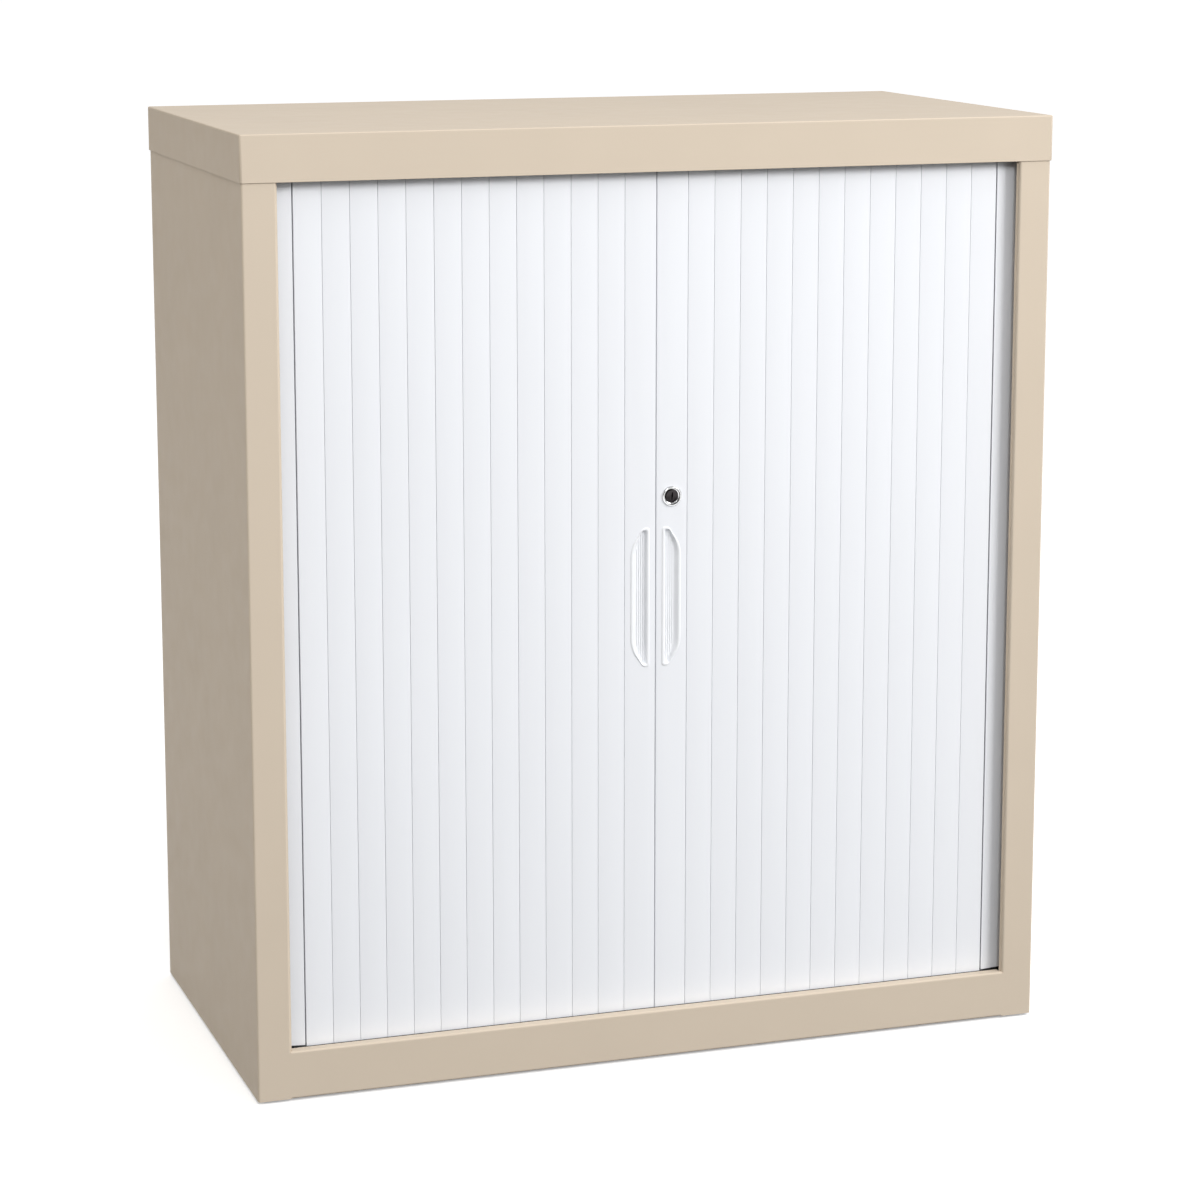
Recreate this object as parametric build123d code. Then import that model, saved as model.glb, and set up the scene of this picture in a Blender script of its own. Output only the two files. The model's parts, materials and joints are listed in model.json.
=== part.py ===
"""Two-door tambour storage cupboard: a folded steel carcass under a cap lid, with two curtains of
upright slats that run in plastic tracks, turn the front corners and go back down the side pockets.

Millimetres. X runs to the right seen from the front, Y to the back, Z up; the origin is on the floor
under the middle. A `side` of -1 is the left half and +1 is the right half.
"""

from build123d import *
import math
import os

# Overall size, over the lid and down to the feet
WIDTH = 900
DEPTH = 463
HEIGHT = 1020

# Sheet metal
SHEET = 1.2
BEND = 1.6
THROUGH = 1  # how far a cut runs past the face it starts at
LID_GAP = 0.3
LID_SKIRT = 49
LID_CORNER = 2.5
LID_EDGE = 1.5
LID_LIP = 4.8
BODY_HALF = WIDTH / 2 - SHEET - LID_GAP
BODY_FRONT = -DEPTH / 2 + SHEET + LID_GAP
BODY_BACK = DEPTH / 2 - SHEET - LID_GAP
BODY_TOP = HEIGHT - SHEET - LID_GAP
BODY_FOOT = 3
LID_FOOT = HEIGHT - LID_SKIRT
INNER_HALF = BODY_HALF - SHEET
STILE = 36
STILE_RETURN = 6
STILE_STOP = 1.6
BACK_FLANGE = 16
OPEN_HALF = BODY_HALF - STILE
RAIL_TOP = 55
RAIL_RETURN = 13
RAIL_HEM = 11
RAIL_FOOT = 17
BACK_PANEL_FACE = BODY_BACK - SHEET - LID_GAP
PANEL_INSET = 1

# Curtain: its outer face runs straight behind the opening, then round a corner and along the side
CURTAIN_FACE = BODY_FRONT + 16
CURTAIN_DEPTH = 6
CORNER_RADIUS = 45
CORNER_START = 385.4
SLAT_PITCH = 29.7
SLAT_GAP = 0.3
CORNER_JOINT = 1.1
SLAT_COUNT = 12
SLAT_SKIN = 1.6
SLAT_FOOT = 42
SLAT_HEAD = 986
LEAD_WIDTH = 35.5
MEETING_GAP = 0.4
LEAD_SKIN = 1.8
GLIDE_INSET = 3
GLIDE_CLEAR = 0.3
GLIDE_TALL = 1.6
END_STRIP = 21
END_STRIP_START = 3
CORNER_CENTRE_Y = CURTAIN_FACE + CORNER_RADIUS
CORNER_MIDDLE = CORNER_RADIUS - CURTAIN_DEPTH / 2

# Tracks: plastic channels that hold the curtain's two ends
TRACK_CLEAR = 0.6
TRACK_WALL = 1.6
TRACK_BACK = 226
LOW_TRACK_FOOT = 38
LOW_TRACK_TOP = 54.4
HIGH_TRACK_FOOT = 974
HIGH_TRACK_TOP = 990
GROOVE_FLOOR = 2

# Inside: floor pan, top tray, side liners, shelves
FLOOR_TOP = 56
FLOOR_FRONT = -196
FLOOR_NOSE = -200
FLOOR_NOSE_HALF = 404
PAN_HALF = 406
TRAY_FRONT = -221.5
TRAY_BACK = 226.8
TRAY_UPSTAND = 25
LINER_FACE = 404
LINER_FRONT = -191
LINER_FOLD = 6
LINER_BACK = 226.4
SLOT_ROWS = (-150, 180)
SLOT_PITCH = 25
SLOT_WIDE = 14
SLOT_HIGH = 3
FIRST_SLOT = 80
SLOTS = 35
SHELF_HALF = 401
SHELF_FRONT = -188
SHELF_BACK = 222
SHELF_EDGE = 25
SHELF_HEM = 9
SHELF_SLOTS = {"lower_shelf": 10, "upper_shelf": 22}
CLIP_TONGUE = 1.6
CLIP_WIDE = 12
CLIP_REACH = 393
CLIP_TAIL = 408
CLIP_LEG = 14
CLIP_HOOK = 6
CLIP_CLEAR = 0.4

# Handles and lock, on the leading slats
HANDLE_MIDDLE = 514
HANDLE_NEAR = 7
HANDLE_WIDE = 21.5
HANDLE_TALL = 152.5
HANDLE_KNEE = 7
HANDLE_SWEEP = 20
HANDLE_CORNER = 3
HANDLE_KNEE_RADIUS = 5
HANDLE_SWEEP_RADIUS = 36
HANDLE_RIM = 3
HANDLE_RIM_EDGE = 1
HANDLE_PROUD = 1.8
HANDLE_DEEP = 9
HANDLE_WALL = 1.2
HANDLE_FIT = 0.2
LOCK_X = 18
LOCK_Z = 623
BEZEL_RADIUS = 11
BEZEL_PROUD = 2.2
BEZEL_EDGE = 1.2
BARREL_RADIUS = 9
BARREL_CLEAR = 0.2
BARREL_BACK = CURTAIN_FACE + 16
PLUG_RADIUS = 7
PLUG_CLEAR = 0.1
PLUG_PROUD = 1.4
PLUG_PAST = 0.5
PLUG_TAIL = 6
PLUG_TAIL_PAST = 1.5
KEYWAY_WIDE = 1.6
KEYWAY_TALL = 8
KEYWAY_DEEP = 9
CAM_THICK = 2
CAM_CLEAR = 0.3
CAM_REACH = 34
CAM_WIDE = 9
CAM_HOOK = 7
CAM_HOOK_THICK = 5
NUT_THICK = 3
NUT_ACROSS = 24
STRIKE_TAB_X = (-10, -7.5)
STRIKE_INSET = 1.5
STRIKE_LOW = 629
STRIKE_TOP = 658
STRIKE_BACK = CURTAIN_FACE + 22

# Levelling feet
FOOT_X = 416
FOOT_ROWS = {"front": -192, "rear": 196}
FOOT_RADIUS = 19
FOOT_PAD = 5
FOOT_EDGE = 1
SCREW_RADIUS = 5
SCREW_CLEAR = 0.1
SCREW_TOP = 34
BRACKET_FOOT = 14
BRACKET_SHEET = 2
BRACKET_INNER = 390
BRACKET_HALF = 25
BOSS_RADIUS = 9
BOSS_TOP = 24

# Rivets of the back panel
RIVET_X = 441
RIVET_RADIUS = 1.6
RIVET_HEAD = 3.2
RIVET_PROUD = 1.2
RIVET_EDGE = 0.72
RIVET_ROWS = [70 + 172 * row for row in range(6)]

SIDES = {"left": -1, "right": 1}


def block(x0, x1, y0, y1, z0, z1):
    """A box between two corners, given in any order along X."""
    size = (abs(x1 - x0), y1 - y0, z1 - z0)
    return Pos((x0 + x1) / 2, (y0 + y1) / 2, (z0 + z1) / 2) * Box(*size)


def rod(radius, x, y0, y1, z):
    """A round bar along Y."""
    return Pos(x, (y0 + y1) / 2, z) * Rot(90, 0, 0) * Cylinder(radius, y1 - y0)


def folded(points, plane, length):
    """Sheet folded along its middle line, carried along the plane's normal."""
    line = FilletPolyline(*points, radius=BEND)
    return extrude(plane * trace(line, SHEET), length)


def mirrored(shape, side):
    """Shapes are drawn on the right; the left one is the mirror image."""
    return shape if side > 0 else mirror(shape, about=Plane.YZ)


def save(name, shape):
    """Writes one node, as one solid or as a group of separate solids."""
    solids = shape.solids()
    body = solids[0] if len(solids) == 1 else Compound(solids)
    export_step(body, f"parts/{name}.step")


def lid():
    """Cap that drops over the carcass, with a lip under its front skirt above the opening."""
    cap = block(-WIDTH / 2, WIDTH / 2, -DEPTH / 2, DEPTH / 2, LID_FOOT, HEIGHT)
    cap = fillet(cap.edges().filter_by(Axis.Z), LID_CORNER)
    cap = fillet(cap.faces().sort_by(Axis.Z)[-1].edges(), LID_EDGE)
    inside = (WIDTH / 2 - SHEET, DEPTH / 2 - SHEET)
    cap -= block(-inside[0], inside[0], -inside[1], inside[1], LID_FOOT, HEIGHT - SHEET)
    lip_half = OPEN_HALF - LID_GAP
    cap += block(-lip_half, lip_half, -inside[1], -inside[1] + LID_LIP, LID_FOOT, LID_FOOT + SHEET)
    return cap


def side_panel():
    """Side, front stile with its return and stop, and the back flange, folded from one sheet."""
    face = BODY_HALF - SHEET / 2
    front = BODY_FRONT + SHEET / 2
    back = BODY_BACK - SHEET / 2
    stile = OPEN_HALF + SHEET / 2
    stop = BODY_FRONT + STILE_RETURN - SHEET / 2
    points = [
        (face - BACK_FLANGE, back),
        (face, back),
        (face, front),
        (stile, front),
        (stile, stop),
        (OPEN_HALF - STILE_STOP, stop),
    ]
    panel = folded(points, Plane.XY.offset(BODY_FOOT), BODY_TOP - BODY_FOOT)
    for z in RIVET_ROWS:
        panel -= rod(RIVET_RADIUS, RIVET_X, BODY_BACK - 2 * SHEET, BODY_BACK + THROUGH, z)
    return panel


def back_panel():
    """Plain sheet inside the side panels' back flanges."""
    half = INNER_HALF - LID_GAP
    z0, z1 = BODY_FOOT + PANEL_INSET, BODY_TOP - PANEL_INSET
    panel = block(-half, half, BACK_PANEL_FACE - SHEET, BACK_PANEL_FACE, z0, z1)
    for x in (-RIVET_X, RIVET_X):
        for z in RIVET_ROWS:
            panel -= rod(RIVET_RADIUS, x, BACK_PANEL_FACE - 2 * SHEET, BACK_PANEL_FACE + THROUGH, z)
    return panel


def back_rivets():
    """Pop rivets with a domed head behind the flange and a blind end inside."""
    rivets = []
    for x in (-RIVET_X, RIVET_X):
        for z in RIVET_ROWS:
            shank = rod(RIVET_RADIUS, x, BACK_PANEL_FACE - SHEET, BODY_BACK, z)
            head = rod(RIVET_HEAD, x, BODY_BACK, BODY_BACK + RIVET_PROUD, z)
            head = chamfer(head.faces().sort_by(Axis.Y)[-1].edges(), RIVET_EDGE)
            rivets += (shank + head).solids()
    return Compound(rivets)


def bottom_front_rail():
    """Front rail between the stiles, with a top return and hem, and a foot turned back."""
    face = BODY_FRONT + SHEET / 2
    top = RAIL_TOP - SHEET / 2
    hem = BODY_FRONT + RAIL_RETURN - SHEET / 2
    points = [
        (BODY_FRONT + RAIL_FOOT, BODY_FOOT + SHEET / 2),
        (face, BODY_FOOT + SHEET / 2),
        (face, top),
        (hem, top),
        (hem, top - RAIL_HEM),
    ]
    rail = folded(points, Plane.YZ.offset(-OPEN_HALF), 2 * OPEN_HALF)
    notch = OPEN_HALF - STILE_STOP - LID_GAP
    behind = BODY_FRONT + STILE_RETURN - SHEET - BEND
    end = BODY_FRONT + RAIL_RETURN + THROUGH
    for side in SIDES.values():
        rail -= block(side * notch, side * OPEN_HALF, behind, end, 0, RAIL_TOP)
    return rail


def floor_pan():
    """Raised floor with side walls that stand on a ledge; the ledge carries the lower track."""
    half = PAN_HALF
    under = FLOOR_TOP - SHEET
    ledge = LOW_TRACK_FOOT - SHEET
    pan = block(-half, half, FLOOR_FRONT, TRAY_BACK, ledge, FLOOR_TOP)
    pan -= block(-half + SHEET, half - SHEET, FLOOR_FRONT + SHEET, TRAY_BACK - SHEET, ledge, under)
    pan += block(-FLOOR_NOSE_HALF, FLOOR_NOSE_HALF, FLOOR_NOSE, FLOOR_FRONT, under, FLOOR_TOP)
    shelf = block(-INNER_HALF, INNER_HALF, TRAY_FRONT, TRAY_BACK, ledge, LOW_TRACK_FOOT)
    shelf -= block(-half + SHEET, half - SHEET, FLOOR_FRONT + SHEET, TRAY_BACK - SHEET, 0, FLOOR_TOP)
    return pan + shelf


def top_tray():
    """Inner top with upstands all round; the upper track hangs under it."""
    top = HIGH_TRACK_TOP + TRAY_UPSTAND
    tray = block(-INNER_HALF, INNER_HALF, TRAY_FRONT, TRAY_BACK, HIGH_TRACK_TOP, top)
    inner = INNER_HALF - SHEET
    inside = (TRAY_FRONT + SHEET, TRAY_BACK - SHEET)
    tray -= block(-inner, inner, inside[0], inside[1], HIGH_TRACK_TOP + SHEET, top)
    return tray


def curtain_plan(outset):
    """Area inside the curtain's path in plan, grown by outset from its outer face."""
    half = CORNER_START + CORNER_RADIUS + outset
    front = CURTAIN_FACE - outset
    radius = CORNER_RADIUS + outset
    line = FilletPolyline(
        (-half, TRACK_BACK), (-half, front), (half, front), (half, TRACK_BACK), radius=radius
    )
    return make_face(line.edges() + Line((half, TRACK_BACK), (-half, TRACK_BACK)).edges())


def track(foot, top, groove_foot, groove_top):
    """A channel that follows the curtain from one side pocket to the other."""
    wall = TRACK_CLEAR + TRACK_WALL
    body = extrude(Plane.XY.offset(foot) * curtain_plan(wall), top - foot)
    body -= extrude(Plane.XY.offset(foot) * curtain_plan(-CURTAIN_DEPTH - wall), top - foot)
    tall = groove_top - groove_foot
    groove = extrude(Plane.XY.offset(groove_foot) * curtain_plan(TRACK_CLEAR), tall)
    groove -= extrude(Plane.XY.offset(groove_foot) * curtain_plan(-CURTAIN_DEPTH - TRACK_CLEAR), tall)
    return body - groove


def liner():
    """Inner side wall between the cupboard and the pocket, punched with two rows of shelf slots."""
    middle = LINER_FACE + SHEET / 2
    points = [
        (middle + LINER_FOLD, LINER_FRONT + SHEET / 2),
        (middle, LINER_FRONT + SHEET / 2),
        (middle, LINER_BACK - SHEET / 2),
        (middle + 2 * LINER_FOLD, LINER_BACK - SHEET / 2),
    ]
    wall = folded(points, Plane.XY.offset(FLOOR_TOP), HIGH_TRACK_TOP - FLOOR_TOP)
    slots = []
    for y in SLOT_ROWS:
        for number in range(SLOTS):
            z = FIRST_SLOT + SLOT_PITCH * number
            y0 = y - SLOT_WIDE / 2
            x0, x1 = LINER_FACE - THROUGH, LINER_FACE + SHEET + THROUGH
            slots += block(x0, x1, y0, y0 + SLOT_WIDE, z, z + SLOT_HIGH).solids()
    return wall - slots


def shelf(slot):
    """Folded shelf with deep edges and a hem under the front and back ones."""
    foot = FIRST_SLOT + SLOT_PITCH * slot + CLIP_TONGUE + (SLOT_HIGH - CLIP_TONGUE) / 2
    top = foot + SHELF_EDGE
    tray = block(-SHELF_HALF, SHELF_HALF, SHELF_FRONT, SHELF_BACK, foot, top)
    inner = SHELF_HALF - SHEET
    tray -= block(-inner, inner, SHELF_FRONT + SHEET, SHELF_BACK - SHEET, foot, top - SHEET)
    for y0, y1 in (
        (SHELF_FRONT + SHEET, SHELF_FRONT + SHEET + SHELF_HEM),
        (SHELF_BACK - SHEET - SHELF_HEM, SHELF_BACK - SHEET),
    ):
        tray += block(-inner, inner, y0, y1, foot, foot + SHEET)
    return tray


def shelf_clips():
    """Clips hooked through the liners' slots, one under each corner of each shelf."""
    clips = []
    leg = LINER_FACE - CLIP_CLEAR
    for slot in SHELF_SLOTS.values():
        z = FIRST_SLOT + SLOT_PITCH * slot + (SLOT_HIGH - CLIP_TONGUE) / 2
        for y in SLOT_ROWS:
            y0, y1 = y - CLIP_WIDE / 2, y + CLIP_WIDE / 2
            clip = block(CLIP_REACH, CLIP_TAIL, y0, y1, z, z + CLIP_TONGUE)
            clip += block(leg - CLIP_TONGUE, leg, y0, y1, z - CLIP_LEG, z)
            clip += block(CLIP_TAIL - CLIP_TONGUE, CLIP_TAIL, y0, y1, z, z + CLIP_HOOK)
            clips += clip.solids() + mirrored(clip, -1).solids()
    return Compound(clips)


def slat(near, width, skin):
    """Upright slat of channel section, open at the back, from `near` outwards."""
    far = near + width
    solid = block(near, far, CURTAIN_FACE, CURTAIN_FACE + CURTAIN_DEPTH, SLAT_FOOT, SLAT_HEAD)
    back = CURTAIN_FACE + CURTAIN_DEPTH
    return solid - block(near + skin, far - skin, CURTAIN_FACE + skin, back, SLAT_FOOT, SLAT_HEAD)


def curved_slat(first):
    """A slat in the corner, bent round it, starting `first` along the curtain's middle line."""
    start = (first + SLAT_GAP / 2) / CORNER_MIDDLE
    end = (first + SLAT_PITCH - SLAT_GAP / 2) / CORNER_MIDDLE
    middle = (start + end) / 2

    def at(radius, angle):
        return (CORNER_START + radius * math.sin(angle), CORNER_CENTRE_Y - radius * math.cos(angle))

    inner = CORNER_RADIUS - CURTAIN_DEPTH
    outer_arc = ThreePointArc(*[at(CORNER_RADIUS, angle) for angle in (start, middle, end)])
    inner_arc = ThreePointArc(*[at(inner, angle) for angle in (end, middle, start)])
    ends = [Line(at(CORNER_RADIUS, end), at(inner, end)), Line(at(inner, start), at(CORNER_RADIUS, start))]
    edges = outer_arc.edges() + inner_arc.edges() + ends[0].edges() + ends[1].edges()
    return extrude(Plane.XY.offset(SLAT_FOOT) * make_face(edges), SLAT_HEAD - SLAT_FOOT)


def corner_slats():
    """The two slats that lie in the corner when the door is shut."""
    flat_end = LEAD_WIDTH + SLAT_COUNT * SLAT_PITCH - CORNER_START + CORNER_JOINT
    slats = [curved_slat(flat_end + SLAT_PITCH * number) for number in range(2)]
    return Compound([solid for piece in slats for solid in piece.solids()])


def end_strip():
    """Closing strip at the curtain's far end, in the pocket."""
    outer = CORNER_START + CORNER_RADIUS
    start = CORNER_CENTRE_Y + END_STRIP_START
    return block(outer - CURTAIN_DEPTH, outer, start, start + END_STRIP, SLAT_FOOT, SLAT_HEAD)


def handle_outline(inset):
    """D-shaped outline in front view: straight beside the meeting edge, swept corners outside."""
    near = HANDLE_NEAR + inset
    far = HANDLE_NEAR + HANDLE_WIDE - inset
    half = HANDLE_TALL / 2 - inset
    knee = near + HANDLE_KNEE - inset * 0.6
    shoulder = half - HANDLE_SWEEP + inset * 0.4
    points = [(near, -half), (near, half), (knee, half), (far, shoulder), (far, -shoulder), (knee, -half)]
    small = HANDLE_CORNER - inset * 0.4
    bend = HANDLE_KNEE_RADIUS - inset * 0.4
    radii = [small, small, bend, HANDLE_SWEEP_RADIUS, HANDLE_SWEEP_RADIUS, bend]
    return FilletPolyline(*points, radius=radii, close=True)


def handle_solid(inset, front, back):
    """The outline carried from one depth to another."""
    face = make_face(handle_outline(inset).edges())
    plane = Plane(origin=(0, front, HANDLE_MIDDLE), x_dir=(1, 0, 0), z_dir=(0, -1, 0))
    return extrude(plane * face, -(back - front))


def handle():
    """Moulded finger pull: a rim on the slat and a cup let into it."""
    front = CURTAIN_FACE - HANDLE_PROUD
    back = CURTAIN_FACE + HANDLE_DEEP
    rim = handle_solid(0, front, CURTAIN_FACE)
    rim = fillet(rim.faces().sort_by(Axis.Y)[0].edges(), HANDLE_RIM_EDGE)
    cup = handle_solid(HANDLE_RIM, CURTAIN_FACE, back)
    hollow = handle_solid(HANDLE_RIM + HANDLE_WALL, front, back - HANDLE_WALL)
    return rim + cup - hollow


def leading_slat(with_lock):
    """Wide slat at the meeting edge, cut out for the handle and for the lock's barrel."""
    lead = slat(MEETING_GAP, LEAD_WIDTH - MEETING_GAP - SLAT_GAP / 2, LEAD_SKIN)
    lead -= handle_solid(HANDLE_RIM - HANDLE_FIT, CURTAIN_FACE - THROUGH, CURTAIN_FACE + CURTAIN_DEPTH)
    if with_lock:
        hole = BARREL_RADIUS + BARREL_CLEAR
        lead -= rod(hole, LOCK_X, CURTAIN_FACE - THROUGH, CURTAIN_FACE + CURTAIN_DEPTH, LOCK_Z)
    return lead


def glides():
    """Nylon runners on the leading slat's two ends, inside the tracks."""
    pads = []
    near = MEETING_GAP + GLIDE_INSET
    far = LEAD_WIDTH - GLIDE_INSET
    y0, y1 = CURTAIN_FACE + GLIDE_CLEAR, CURTAIN_FACE + CURTAIN_DEPTH - GLIDE_CLEAR
    for z0, z1 in ((SLAT_FOOT - GLIDE_TALL, SLAT_FOOT), (SLAT_HEAD, SLAT_HEAD + GLIDE_TALL)):
        pads += block(near, far, y0, y1, z0, z1).solids()
    return Compound(pads)


def lock_body():
    """Bezel and barrel, with the bore that the plug turns in."""
    front = CURTAIN_FACE - BEZEL_PROUD
    bezel = rod(BEZEL_RADIUS, LOCK_X, front, CURTAIN_FACE, LOCK_Z)
    bezel = chamfer(bezel.faces().sort_by(Axis.Y)[0].edges(), BEZEL_EDGE)
    barrel = rod(BARREL_RADIUS, LOCK_X, CURTAIN_FACE, BARREL_BACK, LOCK_Z)
    return bezel + barrel - rod(PLUG_RADIUS + PLUG_CLEAR, LOCK_X, front, BARREL_BACK, LOCK_Z)


def lock_plug():
    """Plug with an upright key slot in its face and a square tail."""
    front = CURTAIN_FACE - PLUG_PROUD
    tail = BARREL_BACK + CAM_THICK + PLUG_TAIL_PAST
    plug = rod(PLUG_RADIUS, LOCK_X, front, BARREL_BACK + PLUG_PAST, LOCK_Z)
    half = PLUG_TAIL / 2
    plug += block(LOCK_X - half, LOCK_X + half, BARREL_BACK, tail, LOCK_Z - half, LOCK_Z + half)
    x0, x1 = LOCK_X - KEYWAY_WIDE / 2, LOCK_X + KEYWAY_WIDE / 2
    z0, z1 = LOCK_Z - KEYWAY_TALL / 2, LOCK_Z + KEYWAY_TALL / 2
    return plug - block(x0, x1, front, front + KEYWAY_DEEP, z0, z1)


def lock_cam():
    """Hook on the plug's tail: hangs down when unlocked, and points to the left door when locked."""
    y0 = BARREL_BACK + PLUG_PAST + CAM_CLEAR
    y1 = y0 + CAM_THICK
    half = CAM_WIDE / 2
    low = LOCK_Z - CAM_REACH
    cam = rod(PLUG_RADIUS, LOCK_X, y0, y1, LOCK_Z)
    cam += block(LOCK_X - half, LOCK_X + half, y0, y1, low, LOCK_Z)
    cam += block(LOCK_X - half - CAM_HOOK, LOCK_X - half, y0, y1, low, low + CAM_HOOK_THICK)
    fit = PLUG_TAIL / 2
    return cam - block(LOCK_X - fit, LOCK_X + fit, y0, y1, LOCK_Z - fit, LOCK_Z + fit)


def lock_nut():
    """Hexagon nut that clamps the barrel behind the slat's skin."""
    y0 = CURTAIN_FACE + LEAD_SKIN
    outline = RegularPolygon(NUT_ACROSS / 2, 6, major_radius=False)
    plane = Plane(origin=(LOCK_X, y0, LOCK_Z), x_dir=(1, 0, 0), z_dir=(0, 1, 0))
    nut = extrude(plane * outline, NUT_THICK)
    return nut - rod(BARREL_RADIUS, LOCK_X, y0, y0 + NUT_THICK, LOCK_Z)


def lock_strike():
    """Bracket behind the left leading slat; the hook catches on its tab."""
    y0 = CURTAIN_FACE + CURTAIN_DEPTH
    x0 = -LEAD_WIDTH + STRIKE_INSET
    bracket = block(x0, STRIKE_TAB_X[1], y0, y0 + SHEET, STRIKE_LOW, STRIKE_TOP)
    return bracket + block(*STRIKE_TAB_X, y0, STRIKE_BACK, STRIKE_LOW, STRIKE_TOP)


def foot(x, y):
    """Levelling foot: a pad with its screw."""
    pad = fillet(Cylinder(FOOT_RADIUS, FOOT_PAD).edges(), FOOT_EDGE)
    screw_tall = SCREW_TOP - FOOT_PAD
    screw = Pos(0, 0, FOOT_PAD / 2 + screw_tall / 2) * Cylinder(SCREW_RADIUS, screw_tall)
    return Pos(x, y, FOOT_PAD / 2) * (pad + screw)


def foot_brackets():
    """Corner gussets welded to the side panels under the ledge, each with a threaded boss."""
    brackets = []
    for y in FOOT_ROWS.values():
        y0, y1 = y - BRACKET_HALF, y + BRACKET_HALF
        top = BRACKET_FOOT + BRACKET_SHEET
        ledge = LOW_TRACK_FOOT - SHEET
        gusset = block(BRACKET_INNER, INNER_HALF, y0, y1, BRACKET_FOOT, top)
        gusset += block(INNER_HALF - BRACKET_SHEET, INNER_HALF, y0, y1, top, ledge)
        tall = BOSS_TOP - top
        gusset += Pos(FOOT_X, y, top + tall / 2) * Cylinder(BOSS_RADIUS, tall)
        gusset -= Pos(FOOT_X, y, BOSS_TOP / 2) * Cylinder(SCREW_RADIUS + SCREW_CLEAR, BOSS_TOP)
        brackets += gusset.solids() + mirrored(gusset, -1).solids()
    return Compound(brackets)


def build_carcass():
    save("lid", lid())
    save("back_panel", back_panel())
    save("back_rivets", back_rivets())
    save("bottom_front_rail", bottom_front_rail())
    save("floor_pan", floor_pan())
    save("top_tray", top_tray())
    save("bottom_track", track(LOW_TRACK_FOOT, LOW_TRACK_TOP, LOW_TRACK_FOOT + GROOVE_FLOOR, LOW_TRACK_TOP))
    save("top_track", track(HIGH_TRACK_FOOT, HIGH_TRACK_TOP, HIGH_TRACK_FOOT, HIGH_TRACK_TOP - GROOVE_FLOOR))
    for name, slot in SHELF_SLOTS.items():
        save(name, shelf(slot))
    save("shelf_clips", shelf_clips())
    save("foot_brackets", foot_brackets())
    panel, wall = side_panel(), liner()
    for name, side in SIDES.items():
        save(f"{name}_side_panel", mirrored(panel, side))
        save(f"{name}_liner", mirrored(wall, side))
        for row, y in FOOT_ROWS.items():
            save(f"{row}_{name}_foot", foot(side * FOOT_X, y))


def build_curtains():
    pull, runners, corner, strip = handle(), glides(), corner_slats(), end_strip()
    for name, side in SIDES.items():
        save(f"{name}_leading_slat", mirrored(leading_slat(side > 0), side))
        save(f"{name}_handle", mirrored(pull, side))
        save(f"{name}_glides", mirrored(runners, side))
        save(f"{name}_corner_slats", mirrored(corner, side))
        save(f"{name}_end_strip", mirrored(strip, side))
        for number in range(SLAT_COUNT):
            near = LEAD_WIDTH + SLAT_PITCH * number + SLAT_GAP / 2
            piece = slat(near, SLAT_PITCH - SLAT_GAP, SLAT_SKIN)
            save(f"{name}_slat_{number + 1:02d}", mirrored(piece, side))


def build_lock():
    save("lock_body", lock_body())
    save("lock_plug", lock_plug())
    save("lock_cam", lock_cam())
    save("lock_nut", lock_nut())
    save("lock_strike", lock_strike())


os.makedirs("parts", exist_ok=True)
build_carcass()
build_curtains()
build_lock()
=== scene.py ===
import json
import math

import bmesh
import bpy
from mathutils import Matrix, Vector


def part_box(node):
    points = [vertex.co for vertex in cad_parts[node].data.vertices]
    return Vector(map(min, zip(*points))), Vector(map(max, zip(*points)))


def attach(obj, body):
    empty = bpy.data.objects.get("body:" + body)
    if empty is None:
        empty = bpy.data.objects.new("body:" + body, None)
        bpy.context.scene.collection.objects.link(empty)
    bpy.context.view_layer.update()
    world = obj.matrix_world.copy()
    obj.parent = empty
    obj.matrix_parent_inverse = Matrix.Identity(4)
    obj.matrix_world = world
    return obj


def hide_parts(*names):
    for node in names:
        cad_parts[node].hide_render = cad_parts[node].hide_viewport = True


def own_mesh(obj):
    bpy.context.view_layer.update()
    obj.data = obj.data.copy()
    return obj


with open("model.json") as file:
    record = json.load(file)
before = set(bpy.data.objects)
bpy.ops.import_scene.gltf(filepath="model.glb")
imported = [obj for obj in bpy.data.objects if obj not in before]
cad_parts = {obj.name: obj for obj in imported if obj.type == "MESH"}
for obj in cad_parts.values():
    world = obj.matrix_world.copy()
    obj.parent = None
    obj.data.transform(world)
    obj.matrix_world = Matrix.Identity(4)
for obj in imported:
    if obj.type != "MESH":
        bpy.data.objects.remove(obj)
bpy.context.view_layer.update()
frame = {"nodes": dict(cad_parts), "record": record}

# Lengths are in metres, in the frame's own axes: X to the right seen from the front, Y to the back,
# Z up. A side of -1 is the left door and +1 is the right one.
MM = 0.001
SIDES = {"left": -1, "right": 1}

# Curtain: channel slats with rounded front edges, joined by a soft web set back in each groove, whose grey
# colour is painted shade for the depth of the groove. Each slat leans by a different amount, at most
# SLAT_LEAN across its width.
SLAT_COUNT = 12
SLAT_EDGE = 0.5 * MM
SLAT_SKIN = 1.6 * MM
SLAT_LEAN = 0.07 * MM
LEAN_STEP = 2.4
WEB_SET_BACK = 1.9 * MM
WEB_THICK = 0.6 * MM
WEB_HOLD = 0.2 * MM
WEB_SHORT = 1 * MM

# Corner slats: the joint to the flat ones and between them, how far each turns from the front, how deep
# their narrowing sides would meet, and their room between the tracks
CORNER_JOINT = 1.25 * MM
CORNER_GAP = 0.4 * MM
CORNER_TURNS = (math.radians(10), math.radians(61))
CORNER_TAPER = 36 * MM
CORNER_FOOT_CLEAR = 0.8 * MM
CORNER_HEAD_CLEAR = 0.2 * MM

# Leading slats
LEAD_SKIN = 1.8 * MM
LEAD_EDGE = 0.8 * MM
EDGE_STEPS = 5

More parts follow.
